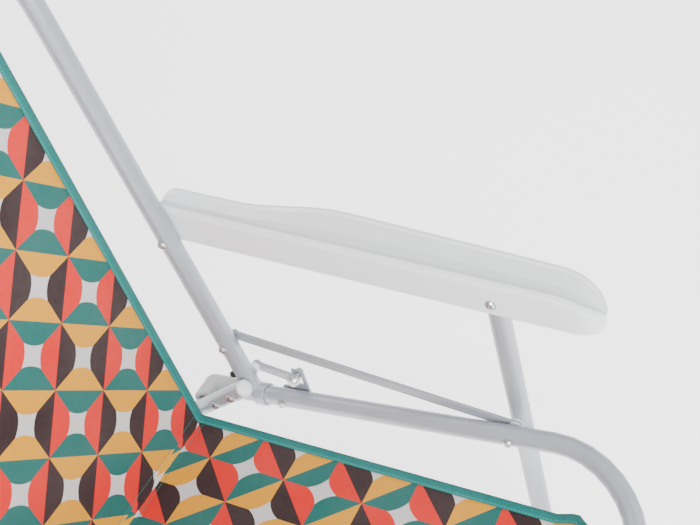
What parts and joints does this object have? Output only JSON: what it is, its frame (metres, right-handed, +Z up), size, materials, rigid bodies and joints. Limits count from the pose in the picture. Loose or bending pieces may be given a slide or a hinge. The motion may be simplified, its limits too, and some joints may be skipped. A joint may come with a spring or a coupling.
{
  "type": "beach chair",
  "caption": "Folding low chair with bent tube frames, hollow armrests, side braces, folding legs and a one-piece fabric sling seat and back.",
  "frame": {"origin": "centre of the footprint box, on the ground", "axes": "+Z up, the sitter faces -Y and the sitter's left is +X"},
  "size_m": [0.585, 0.686, 0.7868],
  "materials": {
    "frame_paint": "smooth light-grey gloss enamel on steel tube",
    "crossbar_steel": "dark grey paint",
    "white_plastic": "white injection-moulded plastic with a soft satin sheen",
    "zinc_screws": "bright zinc-plated steel",
    "grey_foot_plastic": "grey soft plastic",
    "black_rubber": "black rubber",
    "sling_fabric": "woven polyester with a petal print and a teal ribbed binding",
    "elbow_plastic": "pale grey moulded plastic"
  },
  "bodies": {
    "seat": {"seat_frame_tube": "frame_paint", "rear_crossbar": "crossbar_steel", "sling_seat": "sling_fabric", "rear_elbow_left": "elbow_plastic", "rear_elbow_right": "elbow_plastic", "seat_saddle_left": "frame_paint", "seat_saddle_right": "frame_paint", "catch_bracket_left": "frame_paint", "catch_bracket_right": "frame_paint", "catch_pin_left": "zinc_screws", "catch_pin_right": "zinc_screws", "bracket_screw_left": "zinc_screws", "bracket_screw_right": "zinc_screws", "seat_pivot_inner_washer_left": "white_plastic", "seat_pivot_inner_washer_right": "white_plastic", "seat_pivot_screw_left": "zinc_screws", "seat_pivot_screw_right": "zinc_screws"},
    "back": {"back_frame_tube": "frame_paint", "sling_back": "sling_fabric", "armrest_rear_screw_left": "zinc_screws", "armrest_rear_screw_right": "zinc_screws", "armrest_rear_washer_left": "white_plastic", "armrest_rear_washer_right": "white_plastic", "brace_rear_screw_left": "zinc_screws", "brace_rear_screw_right": "zinc_screws", "back_foot_screw_left": "zinc_screws", "back_foot_screw_right": "zinc_screws", "rear_bumper_left": "black_rubber", "rear_bumper_right": "black_rubber"},
    "rear_leg": {"rear_leg_frame": "frame_paint", "rear_leg_plug_left": "white_plastic", "rear_leg_plug_right": "white_plastic", "rear_leg_screw_left": "zinc_screws", "rear_leg_screw_right": "zinc_screws", "rear_stop_screw_left": "zinc_screws", "rear_stop_screw_right": "zinc_screws", "rear_foot_sleeve_left": "grey_foot_plastic", "rear_foot_sleeve_right": "grey_foot_plastic"},
    "front_leg_left": {"front_leg_tube_left": "frame_paint", "front_foot_left": "grey_foot_plastic", "seat_pivot_outer_washer_left": "white_plastic"},
    "brace_left": {"brace_bar_left": "frame_paint", "brace_rear_rivet_left": "zinc_screws"},
    "armrest_body_left": {"armrest_left": "white_plastic", "armrest_front_screw_left": "zinc_screws"},
    "lock_link_body_left": {"lock_link_left": "frame_paint", "link_spacer_left": "white_plastic", "link_rivet_left": "zinc_screws"},
    "front_leg_right": {"front_leg_tube_right": "frame_paint", "front_foot_right": "grey_foot_plastic", "seat_pivot_outer_washer_right": "white_plastic"},
    "brace_right": {"brace_bar_right": "frame_paint", "brace_rear_rivet_right": "zinc_screws"},
    "armrest_body_right": {"armrest_right": "white_plastic", "armrest_front_screw_right": "zinc_screws"},
    "lock_link_body_right": {"lock_link_right": "frame_paint", "link_spacer_right": "white_plastic", "link_rivet_right": "zinc_screws"}
  },
  "joints": [
    {"name": "back_fold", "type": "hinge", "parent": "seat", "child": "back", "pos_m": [0, 0.0984, 0.2569], "axis": [1, 0, 0], "range_deg": [0, 96]},
    {"name": "rear_leg_fold", "type": "hinge", "parent": "seat", "child": "rear_leg", "pos_m": [0, 0.1145, 0.1795], "axis": [-1, 0, 0], "range_deg": [0, 135.67]},
    {"name": "front_leg_fold_left", "type": "hinge", "parent": "seat", "child": "front_leg_left", "pos_m": [0.2629, -0.1985, 0.2735], "axis": [1, 0, 0], "range_deg": [0, 80.75]},
    {"name": "brace_fold_left", "type": "hinge", "parent": "seat", "child": "brace_left", "pos_m": [0.25, -0.1985, 0.2735], "axis": [-1, 0, 0], "range_deg": [0, 7.31]},
    {"name": "armrest_fold_left", "type": "hinge", "parent": "back", "child": "armrest_body_left", "pos_m": [0.2365, 0.135, 0.3931], "axis": [-1, 0, 0], "range_deg": [0, 102.75]},
    {"name": "lock_link_fold_left", "type": "hinge", "parent": "seat", "child": "lock_link_body_left", "pos_m": [0.2416, 0.022, 0.2345], "axis": [-1, 0, 0], "range_deg": [0, 15.54]},
    {"name": "front_leg_fold_right", "type": "hinge", "parent": "seat", "child": "front_leg_right", "pos_m": [-0.2629, -0.1985, 0.2735], "axis": [1, 0, 0], "range_deg": [0, 80.75]},
    {"name": "brace_fold_right", "type": "hinge", "parent": "seat", "child": "brace_right", "pos_m": [-0.25, -0.1985, 0.2735], "axis": [-1, 0, 0], "range_deg": [0, 7.31]},
    {"name": "armrest_fold_right", "type": "hinge", "parent": "back", "child": "armrest_body_right", "pos_m": [-0.2365, 0.135, 0.3931], "axis": [-1, 0, 0], "range_deg": [0, 102.75]},
    {"name": "lock_link_fold_right", "type": "hinge", "parent": "seat", "child": "lock_link_body_right", "pos_m": [-0.2416, 0.022, 0.2345], "axis": [-1, 0, 0], "range_deg": [0, 15.54]}
  ],
  "couplings": [
    {"joint": "rear_leg_fold", "follows": "back_fold", "ratio": 1.4122},
    {"joint": "front_leg_fold_left", "follows": "back_fold", "ratio": 0.8401},
    {"joint": "brace_fold_left", "follows": "back_fold", "ratio": 0.07515},
    {"joint": "armrest_fold_left", "follows": "back_fold", "ratio": 1.0693},
    {"joint": "lock_link_fold_left", "follows": "back_fold", "ratio": 0.1608},
    {"joint": "front_leg_fold_right", "follows": "back_fold", "ratio": 0.8401},
    {"joint": "brace_fold_right", "follows": "back_fold", "ratio": 0.07515},
    {"joint": "armrest_fold_right", "follows": "back_fold", "ratio": 1.0693},
    {"joint": "lock_link_fold_right", "follows": "back_fold", "ratio": 0.1608}
  ]
}
